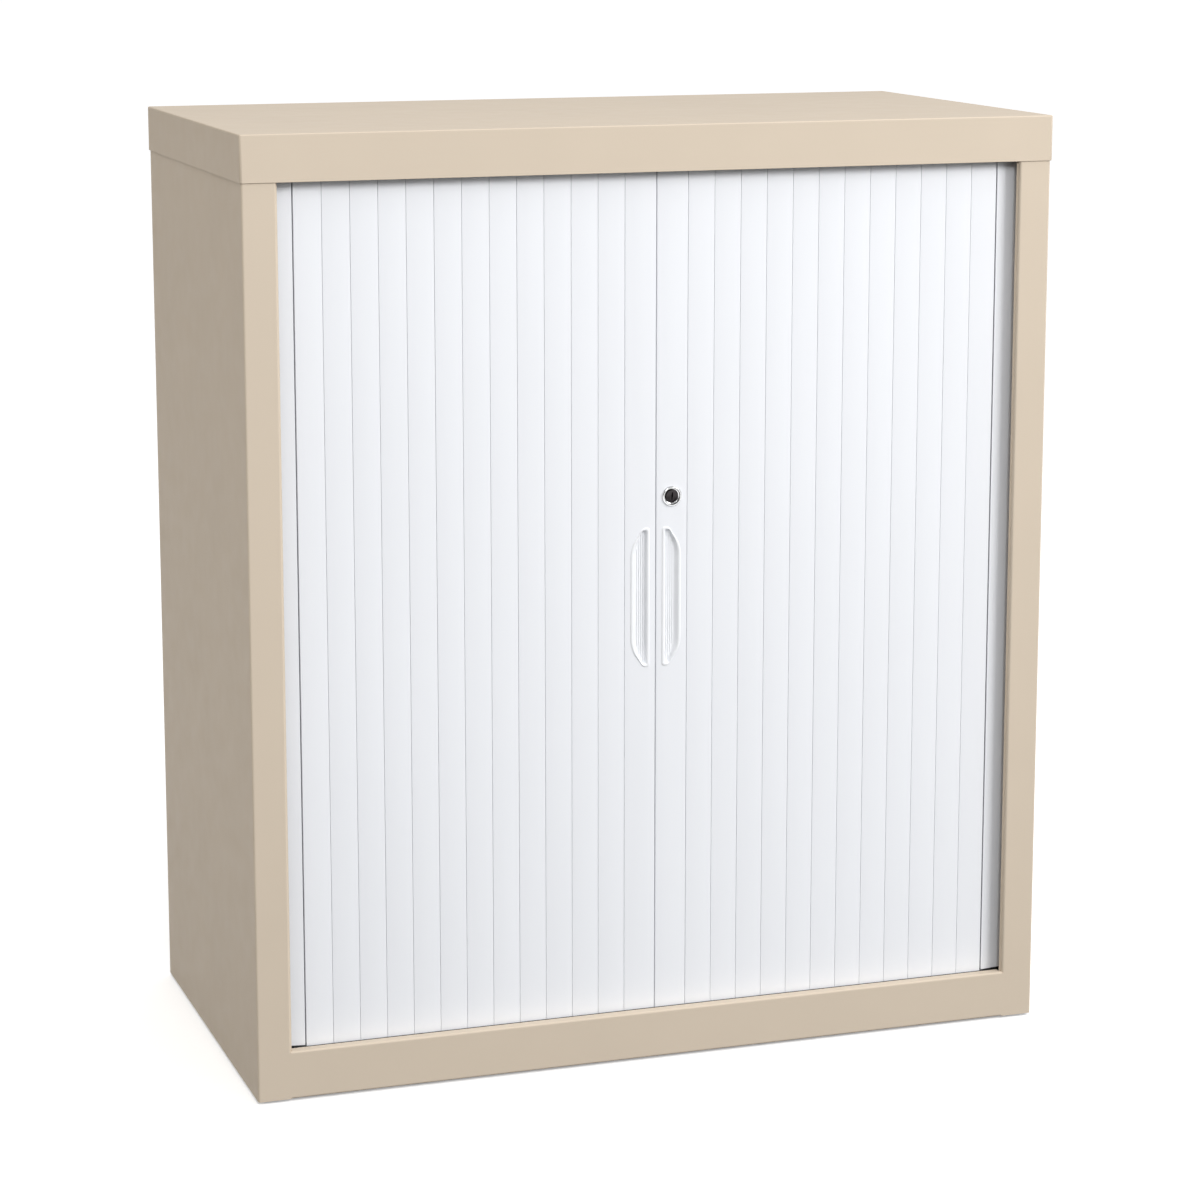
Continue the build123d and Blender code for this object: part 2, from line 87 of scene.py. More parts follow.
# Finger pulls: a D-shaped rim on the leading slat, and a ribbed cup let into it
PULL_KNEE = 7 * MM
PULL_SWEEP = 20 * MM
PULL_CORNER = 3 * MM
PULL_KNEE_RADIUS = 5 * MM
PULL_SWEEP_RADIUS = 36 * MM
PULL_TIGHTEN = 0.4
PULL_RIM = 3 * MM
PULL_FIT = 0.2 * MM
PULL_PROUD = 1.8 * MM
PULL_FLOOR = 3.6 * MM
# Its section in millimetres, from the back round the rim to the cup's floor: how far in, how much
# further in on the sloping outer side, and how deep behind the slat's face
PULL_STEPS = [
    (3.2, 0, 9.0), (3.0, 0, 8.8), (3.0, 0, 0), (0, 0, 0), (0, 0, -0.3), (0.3, 0, -0.6), (0.9, 0, -0.85),
    (1.6, 0, -0.95), (2.3, 0, -0.85), (2.9, 0.1, -0.5), (3.3, 0.2, 0.0), (3.6, 0.5, 0.8), (3.9, 1.0, 1.9),
    (4.2, 1.5, 2.9), (4.6, 1.9, 3.4), (5.1, 2.2, 3.6),
]
RIB_PITCH = 2.3 * MM
RIB_HALF = 0.55 * MM
RIB_TALL = 0.9 * MM
RIB_ROOT = 0.3 * MM
RIB_INSET = 5.3 * MM
RIB_SLOPE = 2.2 * MM
RIB_MARGIN = 2.4

# Lock. The bezel's section gives how far in from its edge in millimetres, and how proud as a share.
LOCK_HOLE = 9.2 * MM
LOCK_BARREL = 9 * MM
LOCK_BORE = 7.1 * MM
LOCK_PLAIN = 4 * MM
BEZEL_STEPS = [(0, 0), (0, 0.45), (0.3, 0.72), (0.8, 0.92), (1.4, 1), (1.9, 0.95), (2.3, 0.72), (2.5, 0.2)]
BORE_MOUTH = [(0.35, 0.05), (0.1, 0)]
BORE_EDGE = 0.25 * MM

# Plug: how far in from its edge and how deep, in millimetres. The keyway is in shares of half its width
# and half its height.
PLUG_STEPS = [(0.75, 0.12), (0.45, 0), (0.2, 0.08), (0, 0.35)]
PLUG_FACE = 0.12 * MM
PLUG_PAST = 0.5 * MM
PLUG_TAIL = 3 * MM
TAIL_ROOT = 0.2 * MM
KEYWAY_HALF = 0.85 * MM
KEYWAY_TALL = 4.1 * MM
KEYWAY_DEEP = 9 * MM
KEYWAY = [(-1, -1), (0.4, -1), (0.4, -0.35), (1, -0.2), (1, 1), (-0.5, 1), (-0.5, 0.45), (-1, 0.3)]

# Levelling feet. The pad's edge gives how far in and how high, in millimetres.
PAD_STEPS = [(1.2, 0), (0.4, 0.3), (0, 1), (0, 3.2), (0.4, 3.9), (1.2, 4.2)]
PAD_NECK = [(3, 4.5), (1.5, 5)]
PAD_TOP = 5 * MM
PAD_OVERLAP = 1 * MM
SCREW_RADIUS = 5 * MM
SCREW_POINT = 1.2 * MM
SCREW_END = 0.2 * MM
THREAD_PITCH = 1.5 * MM
THREAD_DEPTH = 0.55 * MM

# Folded steel: every sheet edge is slightly rounded by its coat of paint
PAINT_EDGE = 0.35 * MM
METAL_EDGE = 0.25 * MM
EDGE_ANGLE = math.radians(50)
EDGE_SEGMENTS = 2
WELD = 1e-6

# These fold or butt flush, so they keep their own bends and get no extra round
FLUSH_NODES = ("left_side_panel", "right_side_panel", "bottom_front_rail")
STILE_BEND = 2.2 * MM
SEAM_BELOW = 0.9 * MM

# Meshing: points round a full turn, a drilled hole, a rounded corner and a bend
ROUND = 72
HOLE_STEPS = 48
ARC_STEPS = 10
BEND_STEPS = 8
MERGE = 1e-7
SMOOTH = math.radians(35)
SMOOTH_SLAT = math.radians(50)
SMOOTH_MOULDING = math.radians(40)
SMOOTH_TURNED = math.radians(30)

# The camera stands to the left of the cupboard, above its middle, and looks slightly down
CAMERA_AT = (-1.195, -3.541, 1.266)
CAMERA_TURN = math.radians(18.79)
CAMERA_DOWN = math.radians(10.43)
CAMERA_LENS = 101
CAMERA_SHIFT = -0.08

# Room of white light: its strength at eye level, how much stronger to the right and above, and its least
ROOM_LEVEL = 0.38
ROOM_RIGHT = 0.35
ROOM_ABOVE = 0.6
ROOM_DARKEST = 0.03

# The floor reaches past the horizon and glows a little, so that it shows as white
FLOOR_HALF = 90
FLOOR_GLOW = 0.3

# Soft lights: name, place, target, width and height, power in watts, colour
WHITE = (1, 1, 1)
LIGHTS = [
    ("key", (-0.75, -3.6, 2.5), (0, 0, 0.7), (1.1, 1.0), 58, WHITE),
    ("right", (2.4, -2.6, 2.2), (0, 0, 0.7), (1.8, 1.6), 72, WHITE),
    ("left", (-3.4, 0.1, 1.5), (0, 0, 0.6), (1.8, 1.6), 29, (1, 0.95, 0.87)),
]


# ---------------------------------------------------------------- meshes


def add_object(name, bm, smooth_angle=SMOOTH):
    """Turns a bmesh into an object with outward faces, smooth below the given angle."""
    bmesh.ops.remove_doubles(bm, verts=bm.verts, dist=MERGE)
    bmesh.ops.recalc_face_normals(bm, faces=bm.faces)
    mesh = bpy.data.meshes.new(name)
    bm.to_mesh(mesh)
    bm.free()
    mesh.polygons.foreach_set("use_smooth", [True] * len(mesh.polygons))
    mesh.set_sharp_from_angle(angle=smooth_angle)
    obj = bpy.data.objects.new(name, mesh)
    bpy.context.scene.collection.objects.link(obj)
    return obj


def add_prism(bm, outline, z0, z1):
    """A closed plan outline carried from z0 to z1."""
    low = [bm.verts.new((x, y, z0)) for x, y in outline]
    high = [bm.verts.new((x, y, z1)) for x, y in outline]
    for a in range(len(outline)):
        b = (a + 1) % len(outline)
        bm.faces.new((low[a], low[b], high[b], high[a]))
    caps = [bm.faces.new(low), bm.faces.new(high)]
    bmesh.ops.triangulate(bm, faces=caps)


def rounded_outline(points, radii, steps):
    """Closed outline through the points, each corner an arc of its own radius."""
    outline = []
    count = len(points)
    for i in range(count):
        here = Vector(points[i])
        before = (Vector(points[i - 1]) - here).normalized()
        after = (Vector(points[(i + 1) % count]) - here).normalized()
        half = before.angle(after) / 2
        centre = here + (before + after).normalized() * (radii[i] / math.sin(half))
        reach = radii[i] / math.tan(half)
        start = here + before * reach - centre
        end = here + after * reach - centre
        swing = start.angle_signed(end)
        for step in range(steps + 1):
            turn = -swing * step / steps
            cos, sin = math.cos(turn), math.sin(turn)
            outline.append(centre + Vector((start.x * cos - start.y * sin, start.x * sin + start.y * cos)))
    return outline


def bridge(bm, first, second):
    """Quads between two rings of the same number of vertices."""
    for a in range(len(first)):
        b = (a + 1) % len(first)
        bm.faces.new((first[a], first[b], second[b], second[a]))


def add_lathe(bm, profile, centre, axis, closed):
    """A profile of (radius, distance along the axis) turned round an upright axis "Z" or a level "Y"."""
    rings = []
    for radius, along in profile:
        ring = []
        for step in range(ROUND if radius > 0 else 1):
            angle = 2 * math.pi * step / ROUND
            u, v = radius * math.cos(angle), radius * math.sin(angle)
            offset = Vector((u, v, along)) if axis == "Z" else Vector((u, along, v))
            ring.append(bm.verts.new(Vector(centre) + offset))
        rings.append(ring)
    pairs = list(zip(rings, rings[1:] + rings[:1])) if closed else list(zip(rings, rings[1:]))
    for first, second in pairs:
        if len(first) == 1 or len(second) == 1:
            tip, ring = (first[0], second) if len(first) == 1 else (second[0], first)
            for a in range(ROUND):
                bm.faces.new((tip, ring[a], ring[(a + 1) % ROUND]))
        else:
            bridge(bm, first, second)


def fill(bm, rings):
    """Flat triangles inside the first ring and outside the others."""
    edges = []
    for ring in rings:
        for a in range(len(ring)):
            pair = (ring[a], ring[(a + 1) % len(ring)])
            edges.append(bm.edges.get(pair) or bm.edges.new(pair))
    bmesh.ops.triangle_fill(bm, use_beauty=True, edges=edges)


# ---------------------------------------------------------------- materials


class Finish:
    """A procedural material in object space, built up from noise, colour, roughness and bump."""

    def __init__(self, name, roughness, metallic=0.0):
        self.material = bpy.data.materials.new(name)
        self.material.use_nodes = True
        self.nodes = self.material.node_tree.nodes
        self.links = self.material.node_tree.links
        self.shader = self.nodes["Principled BSDF"]
        self.shader.inputs["Metallic"].default_value = metallic
        self.shader.inputs["Roughness"].default_value = roughness
        self.space = self.nodes.new("ShaderNodeTexCoord").outputs["Object"]

    def noise(self, scale, detail=3.0, stretch=(1, 1, 1)):
        """Noise with `scale` features to the metre, drawn out along an axis where stretch is small."""
        mapping = self.nodes.new("ShaderNodeMapping")
        mapping.inputs["Scale"].default_value = stretch
        self.links.new(self.space, mapping.inputs["Vector"])
        noise = self.nodes.new("ShaderNodeTexNoise")
        noise.inputs["Scale"].default_value = scale
        noise.inputs["Detail"].default_value = detail
        self.links.new(mapping.outputs["Vector"], noise.inputs["Vector"])
        return noise.outputs["Fac"]

    def spread(self, value, low, high):
        """Takes noise, which lies mostly between 0.3 and 0.7, to the range from low to high."""
        between = self.nodes.new("ShaderNodeMapRange")
        for socket, number in (("From Min", 0.3), ("From Max", 0.7), ("To Min", low), ("To Max", high)):
            between.inputs[socket].default_value = number
        self.links.new(value, between.inputs["Value"])
        return between.outputs["Result"]

    def colour(self, value, dark, light):
        """Base colour between two shades."""
        mix = self.nodes.new("ShaderNodeMix")
        mix.data_type = "RGBA"
        self.links.new(self.spread(value, 0.0, 1.0), mix.inputs["Factor"])
        mix.inputs[6].default_value = (*dark, 1)
        mix.inputs[7].default_value = (*light, 1)
        self.links.new(mix.outputs[2], self.shader.inputs["Base Color"])

    def roughness(self, value, low, high):
        self.links.new(self.spread(value, low, high), self.shader.inputs["Roughness"])

    def bump(self, *layers):
        """Height layers of (noise, height in metres), one on top of the other."""
        normal = None
        for value, height in layers:
            bump = self.nodes.new("ShaderNodeBump")
            bump.inputs["Strength"].default_value = 1.0
            bump.inputs["Distance"].default_value = height
            self.links.new(value, bump.inputs["Height"])
            if normal:
                self.links.new(normal, bump.inputs["Normal"])
            normal = bump.outputs["Normal"]
        self.links.new(normal, self.shader.inputs["Normal"])


def shades(colour, change):
    """A slightly darker and a slightly lighter version of a colour."""
    return [tuple(part * (1 - change) for part in colour), tuple(part * (1 + change) for part in colour)]


def powder_coat():
    """Sand powder coat: fine orange peel, satin, with the faintest cloudiness."""
    finish = Finish("sand_powder_coat", 0.5)
    cloud = finish.noise(9, 2)
    peel = finish.noise(620, 3)
    grain = finish.noise(2600, 2)
    finish.colour(cloud, *shades((0.636, 0.543, 0.434), 0.012))
    finish.roughness(finish.noise(40, 3), 0.46, 0.56)
    finish.bump((peel, 0.05 * MM), (grain, 0.012 * MM))
    finish.shader.inputs["Specular IOR Level"].default_value = 0.18
    return finish.material


def slat_plastic():
    """Cool white extruded plastic, with die lines along the slat."""
    finish = Finish("white_slat_plastic", 0.42)
    die_lines = finish.noise(900, 3, (1, 1, 0.004))
    cloud = finish.noise(14, 2, (1, 1, 0.25))
    finish.colour(cloud, *shades((0.826, 0.84, 0.872), 0.008))
    finish.roughness(finish.noise(260, 3, (1, 1, 0.02)), 0.38, 0.48)
    finish.bump((die_lines, 0.012 * MM), (finish.noise(1500, 2), 0.005 * MM))
    return finish.material


def pull_plastic():
    """White moulded plastic with a fine spark-eroded texture."""
    finish = Finish("white_moulded_plastic", 0.4)
    finish.colour(finish.noise(60, 2), *shades((0.865, 0.877, 0.9), 0.008))
    finish.roughness(finish.noise(300, 3), 0.34, 0.46)
    finish.bump((finish.noise(1900, 3), 0.02 * MM))
    return finish.material


def track_plastic():
    """Black extruded plastic, scuffed along the run."""
    finish = Finish("black_track_plastic", 0.45)
    finish.colour(finish.noise(120, 3), (0.012, 0.012, 0.013), (0.024, 0.024, 0.025))
    finish.roughness(finish.noise(200, 3), 0.38, 0.58)
    finish.bump((finish.noise(1100, 3), 0.02 * MM))
    return finish.material


def web_plastic_painted_groove_shade():
    """Soft web between the slats, coloured grey-white as painted shade for the bottom of each groove."""
    finish = Finish("grey_web_painted_groove_shade", 0.6)
    # Painted shade: the web's grey, darker than the slats, darkens each groove.
    finish.colour(finish.noise(80, 2), (0.56, 0.57, 0.59), (0.62, 0.63, 0.65))
    finish.bump((finish.noise(900, 2), 0.02 * MM))
    return finish.material


def nylon():
    """Natural nylon of the runners."""
    finish = Finish("natural_nylon", 0.5)
    finish.colour(finish.noise(150, 2), (0.74, 0.73, 0.69), (0.8, 0.79, 0.75))
    finish.bump((finish.noise(1400, 2), 0.02 * MM))
    finish.shader.inputs["Subsurface Weight"].default_value = 0.15
    finish.shader.inputs["Subsurface Scale"].default_value = 0.002
    return finish.material


def foot_plastic():
    """Black moulded foot with dust in its grain."""
    finish = Finish("black_foot_plastic", 0.6)
    finish.colour(finish.noise(180, 4), (0.018, 0.018, 0.018), (0.04, 0.039, 0.037))
    finish.roughness(finish.noise(240, 3), 0.5, 0.7)
    finish.bump((finish.noise(1300, 3), 0.04 * MM))
    return finish.material


def zinc_plate():
    """Bright zinc plate with a mottled crystal and light rubbing."""
    finish = Finish("zinc_plate", 0.35, 1.0)
    finish.colour(finish.noise(260, 4), (0.52, 0.52, 0.5), (0.68, 0.68, 0.66))
    finish.roughness(finish.noise(420, 3), 0.26, 0.44)
    finish.bump((finish.noise(1200, 3), 0.01 * MM))
    return finish.material


def polished_metal(name, colour, low, high):
    """Plated metal: nearly a mirror, with fine wiping marks."""
    finish = Finish(name, low, 1.0)
    finish.colour(finish.noise(400, 3), *shades(colour, 0.03))
    finish.roughness(finish.noise(1500, 4, (1, 1, 0.15)), low, high)
    finish.bump((finish.noise(2600, 3, (1, 1, 0.1)), 0.0015 * MM))
    return finish.material


def pale_floor():
    """Studio floor."""
    finish = Finish("studio_floor", 0.75)
    finish.colour(finish.noise(1.5, 2), *shades((0.945, 0.945, 0.945), 0.004))
    finish.bump((finish.noise(90, 2), 0.05 * MM))
    finish.shader.inputs["Specular IOR Level"].default_value = 0.1
    finish.shader.inputs["Emission Color"].default_value = (*WHITE, 1)
    finish.shader.inputs["Emission Strength"].default_value = FLOOR_GLOW
    return finish.material


def make_finishes():
    """One material for each of the record's slots."""
    return {
        "carcass": powder_coat(),
        "slat": slat_plastic(),
        "handle": pull_plastic(),
        "glide": nylon(),
        "track": track_plastic(),
        "foot": foot_plastic(),
        "zinc": zinc_plate(),
        "lock_chrome": polished_metal("polished_chrome", (0.6, 0.605, 0.61), 0.08, 0.16),
        # The plug's near-black metal colour is a painted dark reflection: it stands in for the dark
        # surroundings that the plated plug mirrors.
        "lock_plug": polished_metal("plug_plate_painted_dark_reflection", (0.035, 0.032, 0.033), 0.12, 0.24),
    }


def finish_cad_nodes(finishes):
    """Each CAD node that stays gets its slot's material and a small round on its sheet edges."""
    slot_of = {part["node"]: part["material_slot"] for part in frame["record"]["subparts"]}
    for name, obj in frame["nodes"].items():
        slot = slot_of[name]
        for holder in obj.material_slots:
            holder.link = "OBJECT"
            holder.material = finishes[slot]
        if name in FLUSH_NODES:
            continue
        weld = obj.modifiers.new("join_faces", "WELD")
        weld.merge_threshold = WELD
        bevel = obj.modifiers.new("soft_edges", "BEVEL")
        bevel.width = PAINT_EDGE if slot == "carcass" else METAL_EDGE
        bevel.segments = EDGE_SEGMENTS
        bevel.limit_method = "ANGLE"
        bevel.angle_limit = EDGE_ANGLE
        bevel.harden_normals = True


# ---------------------------------------------------------------- the curtain


def lay(piece, body, material):
    """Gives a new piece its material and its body."""
    piece.data.materials.append(material)
    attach(piece, body)


def place(piece, body, slot, finishes, nodes):
    """Lays a piece that stands for CAD nodes, in its slot's material."""
    lay(piece, body, finishes[slot])
    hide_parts(*nodes)


def slat_section(width, depth, skin, edge, lean):
    """Channel section as (across, depth) points: rounded at the front, open at the back. The far side of
    its front is set back by lean."""
    front = []
    for corner, start in ((edge, math.pi), (width - edge, 1.5 * math.pi)):
        for step in range(EDGE_STEPS + 1):
            angle = start + math.pi / 2 * step / EDGE_STEPS
            front.append((corner + edge * math.cos(angle), edge + edge * math.sin(angle)))
    back = [(width, depth), (width - skin, depth), (width - skin, skin)]
    back += [(skin, skin), (skin, depth), (0, depth)]
    section = front + back
    return [(across, deep + (lean * (across / width) if deep < skin else 0)) for across, deep in section]


def flat_place(side, near, face):
    """Takes a point of a section to plan, on the straight part of a curtain."""
    return lambda across, deep: (side * (near + across), face + deep)


def make_curtain(side_name, side, finishes):
    """The twelve flat slats of one door, with the web that joins them."""
    bm = bmesh.new()
    low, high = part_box(f"{side_name}_slat_01")
    slat_foot, slat_head, face, depth = low.z, high.z, low.y, high.y - low.y
    edges = []
    for number in range(1, SLAT_COUNT + 1):
        low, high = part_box(f"{side_name}_slat_{number:02d}")
        near, far = sorted((abs(low.x), abs(high.x)))
        lean = SLAT_LEAN * math.sin(number * LEAN_STEP + side)
        section = slat_section(far - near, depth, SLAT_SKIN, SLAT_EDGE, abs(lean))
        if lean < 0:
            section = mirrored_section(section, far - near)
        spot = flat_place(side, near, face)
        add_prism(bm, [spot(*point) for point in section], slat_foot, slat_head)
        edges.append((near, far))
    slats = add_object(f"{side_name}_curtain", bm, SMOOTH_SLAT)
    names = [f"{side_name}_slat_{number:02d}" for number in range(1, SLAT_COUNT + 1)]
    place(slats, "root", "slat", finishes, names)

    webs = bmesh.new()
    for (_, far), (near, _) in zip(edges, edges[1:]):
        x0, x1 = side * (far - WEB_HOLD), side * (near + WEB_HOLD)
        y0, y1 = face + WEB_SET_BACK, face + WEB_SET_BACK + WEB_THICK
        outline = [(x0, y0), (x1, y0), (x1, y1), (x0, y1)]
        add_prism(webs, outline, slat_foot + WEB_SHORT, slat_head - WEB_SHORT)
    web = add_object(f"{side_name}_curtain_web", webs)
    lay(web, "root", finishes["web"])

    for piece in (slats, web):
        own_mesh(piece)


def mirrored_section(section, width):
    """The section turned side for side, its points in the same order of turning."""
    return [(width - across, deep) for across, deep in reversed(section)]


def make_corner(side_name, side, finishes):
    """The stiff slats that stand as a chain round the front corner, between the walls of the tracks."""
    first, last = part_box(f"{side_name}_slat_01"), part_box(f"{side_name}_slat_{SLAT_COUNT:02d}")
    width, depth, face = first[1].x - first[0].x, first[1].y - first[0].y, first[0].y
    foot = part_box("bottom_track")[1].z + CORNER_FOOT_CLEAR
    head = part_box("top_track")[0].z - CORNER_HEAD_CLEAR
    near = Vector((max(abs(last[0].x), abs(last[1].x)) + CORNER_JOINT, face))
    bm = bmesh.new()
    for turn in CORNER_TURNS:
        along = Vector((math.cos(turn), math.sin(turn)))
        inward = Vector((-along.y, along.x))
        outline = []
        for across, deep in slat_section(width, depth, SLAT_SKIN, SLAT_EDGE, 0):
            from_middle = (across - width / 2) * (1 - deep / CORNER_TAPER)
            spot = near + along * (width / 2 + from_middle) + inward * deep
            outline.append((side * spot.x, spot.y))
        add_prism(bm, outline, foot, head)
        near += along * (width + CORNER_GAP)
    corner = add_object(f"{side_name}_corner_curtain", bm, SMOOTH_SLAT)
    place(corner, "root", "slat", finishes, [f"{side_name}_corner_slats"])


# ---------------------------------------------------------------- leading slats, pulls and lock


def pull_ring(side, inset, slope=0.0):
    """D-shaped outline of a pull in front view as (x, z), drawn in by inset, and by slope on its outer
    side. Its corners get tighter as it is drawn in."""
    low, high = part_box("right_handle")
    near, far = low.x + inset, high.x - inset - slope
    middle, half = (low.z + high.z) / 2, (high.z - low.z) / 2 - inset
    tighter = inset * PULL_TIGHTEN
    knee = low.x + PULL_KNEE + tighter
    shoulder = half - PULL_SWEEP + tighter
    corner = PULL_CORNER - tighter
    bend = PULL_KNEE_RADIUS - tighter
    points = [(near, -half), (near, half), (knee, half), (far, shoulder), (far, -shoulder), (knee, -half)]
    radii = [corner, corner, bend, PULL_SWEEP_RADIUS, PULL_SWEEP_RADIUS, bend]
    return [(side * p.x, middle + p.y) for p in rounded_outline(points, radii, ARC_STEPS)]


def add_ring(bm, ring, y):
    """Vertices for an outline of (x, z) points at one depth."""
    return [bm.verts.new((x, y, z)) for x, z in ring]


def make_pull(side_name, side, finishes):
    """Finger pull as one moulding: rounded rim, sloping cup and a ribbed floor."""
    low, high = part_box(f"{side_name}_handle")
    face = low.y + PULL_PROUD
    bm = bmesh.new()
    rings = []
    for inset, slope, deep in PULL_STEPS:
        rings.append(add_ring(bm, pull_ring(side, inset * MM, slope * MM), face + deep * MM))
    for first, second in zip(rings, rings[1:]):
        bridge(bm, first, second)
    fill(bm, [rings[0]])
    fill(bm, [rings[-1]])
    add_ribs(bm, side, face + PULL_FLOOR)
    pull = add_object(f"{side_name}_pull", bm, SMOOTH_MOULDING)
    place(pull, f"{side_name}_door", "handle", finishes, [f"{side_name}_handle"])


def add_ribs(bm, side, floor):
    """Rounded upright ribs on the floor of a cup, each as tall as the cup is there."""
    ring = pull_ring(1, RIB_INSET, RIB_SLOPE)
    left, right = min(x for x, _ in ring), max(x for x, _ in ring)
    count = int((right - left - RIB_MARGIN * RIB_HALF) / RIB_PITCH) + 1
    first = (left + right) / 2 - RIB_PITCH * (count - 1) / 2
    for number in range(count):
        x = first + RIB_PITCH * number
        spans = [crossings(ring, x - RIB_HALF), crossings(ring, x + RIB_HALF)]
        z0 = max(min(span) for span in spans)
        z1 = min(max(span) for span in spans)
        section = []
        for step in range(BEND_STEPS + 1):
            angle = math.pi * step / BEND_STEPS
            section.append((side * (x - RIB_HALF * math.cos(angle)), floor - RIB_TALL * math.sin(angle)))
        section += [(side * (x + RIB_HALF), floor + RIB_ROOT), (side * (x - RIB_HALF), floor + RIB_ROOT)]
        add_prism(bm, section, z0, z1)


def crossings(ring, x):
    """Heights at which an outline crosses an upright line."""
    found = []
    for a in range(len(ring)):
        (x0, z0), (x1, z1) = ring[a - 1], ring[a]
        if (x0 - x) * (x1 - x) < 0:
            found.append(z0 + (z1 - z0) * (x - x0) / (x1 - x0))
    return found


def make_leading_slat(side_name, side, finishes):
    """Wide slat at the meeting edge, cut out for the pull and, on the right, for the lock."""
    low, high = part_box(f"{side_name}_leading_slat")
    near, far = sorted((abs(low.x), abs(high.x)))
    face, depth = low.y, high.y - low.y
    cuts = [pull_ring(side, PULL_RIM - PULL_FIT)]
    if side > 0:
        cuts.append(circle(lock_centre(), LOCK_HOLE, HOLE_STEPS))
    section = slat_section(far - near, depth, LEAD_SKIN, LEAD_EDGE, 0)
    bm = bmesh.new()
    bottom = [bm.verts.new((side * (near + across), face + deep, low.z)) for across, deep in section]
    top = [bm.verts.new((side * (near + across), face + deep, high.z)) for across, deep in section]
    count = len(section)
    front_gap = EDGE_STEPS
    back_gap = next(i for i in range(count) if section[i] == (far - near - LEAD_SKIN, LEAD_SKIN))
    for a in range(count):
        b = (a + 1) % count
        if a not in (front_gap, back_gap):
            bm.faces.new((bottom[a], bottom[b], top[b], top[a]))
    caps = [bm.faces.new(bottom), bm.faces.new(top)]
    bmesh.ops.triangulate(bm, faces=caps)
    walls = []
    for gap, deep in ((front_gap, 0), (back_gap, LEAD_SKIN)):
        frame_ring = [bottom[gap], bottom[gap + 1], top[gap + 1], top[gap]]
        holes = [add_ring(bm, cut, face + deep) for cut in cuts]
        fill(bm, [frame_ring] + holes)
        walls.append(holes)
    for front, back in zip(*walls):
        bridge(bm, front, back)
    slat = add_object(f"{side_name}_lead", bm, SMOOTH_MOULDING)
    place(slat, f"{side_name}_door", "slat", finishes, [f"{side_name}_leading_slat"])


def lock_centre():
    """Centre of the lock in front view, as (x, z)."""
    low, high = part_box("lock_body")
    return (low.x + high.x) / 2, (low.z + high.z) / 2


def circle(centre, radius, steps):
    """Outline of a circle in front view, as (x, z) points."""
    angles = [2 * math.pi * step / steps for step in range(steps)]
    return [(centre[0] + radius * math.cos(a), centre[1] + radius * math.sin(a)) for a in angles]


def make_lock(finishes):
    """Bezel and barrel turned as one."""
    low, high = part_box("lock_body")
    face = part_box("right_leading_slat")[0].y
    proud = face - low.y
    x, z = lock_centre()
    outer = (high.x - low.x) / 2
    back = high.y - face
    profile = [(outer - inset * MM, -share * proud) for inset, share in BEZEL_STEPS]
    profile += [(LOCK_BORE + wider * MM, -share * proud) for wider, share in BORE_MOUTH]
    profile += [(LOCK_BORE, BORE_EDGE), (LOCK_BORE, back), (LOCK_BARREL, back)]
    for turn in range(int((back - LOCK_PLAIN) / THREAD_PITCH)):
        at = back - (turn + 0.5) * THREAD_PITCH
        profile += [(LOCK_BARREL - THREAD_DEPTH, at), (LOCK_BARREL, at - THREAD_PITCH / 2)]
    profile.append((LOCK_BARREL, 0.001 * MM))
    bm = bmesh.new()
    add_lathe(bm, profile, (x, face, z), "Y", True)
    body = add_object("lock_cylinder", bm, SMOOTH_TURNED)
    place(body, "right_door", "lock_chrome", finishes, ["lock_body"])


def make_plug(finishes):
    """Turned plug with a dished face and a stepped keyway."""
    low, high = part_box("lock_plug")
    x, z = (low.x + high.x) / 2, (low.z + high.z) / 2
    radius = (high.x - low.x) / 2
    front, shoulder = low.y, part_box("lock_body")[1].y + PLUG_PAST
    bm = bmesh.new()
    profile = [(radius - inset * MM, front + deep * MM) for inset, deep in PLUG_STEPS] + [(radius, shoulder)]
    rings = [add_ring(bm, circle((x, z), reach, ROUND), y) for reach, y in profile]
    for first, second in zip(rings, rings[1:]):
        bridge(bm, first, second)
    fill(bm, [rings[-1]])
    keyway = [(x + u * KEYWAY_HALF, z + v * KEYWAY_TALL) for u, v in KEYWAY]
    mouth, end = (add_ring(bm, keyway, front + deep) for deep in (PLUG_FACE, KEYWAY_DEEP))
    fill(bm, [rings[0], mouth])
    bridge(bm, mouth, end)
    fill(bm, [end])
    square = [(x + u * PLUG_TAIL, z + v * PLUG_TAIL) for u, v in ((-1, -1), (1, -1), (1, 1), (-1, 1))]
    ends = [add_ring(bm, square, y) for y in (shoulder - TAIL_ROOT, high.y)]
    bridge(bm, *ends)
    fill(bm, [ends[0]])
    fill(bm, [ends[1]])
    plug = add_object("lock_core", bm, SMOOTH_TURNED)
    place(plug, "lock_barrel_plug", "lock_plug", finishes, ["lock_plug"])


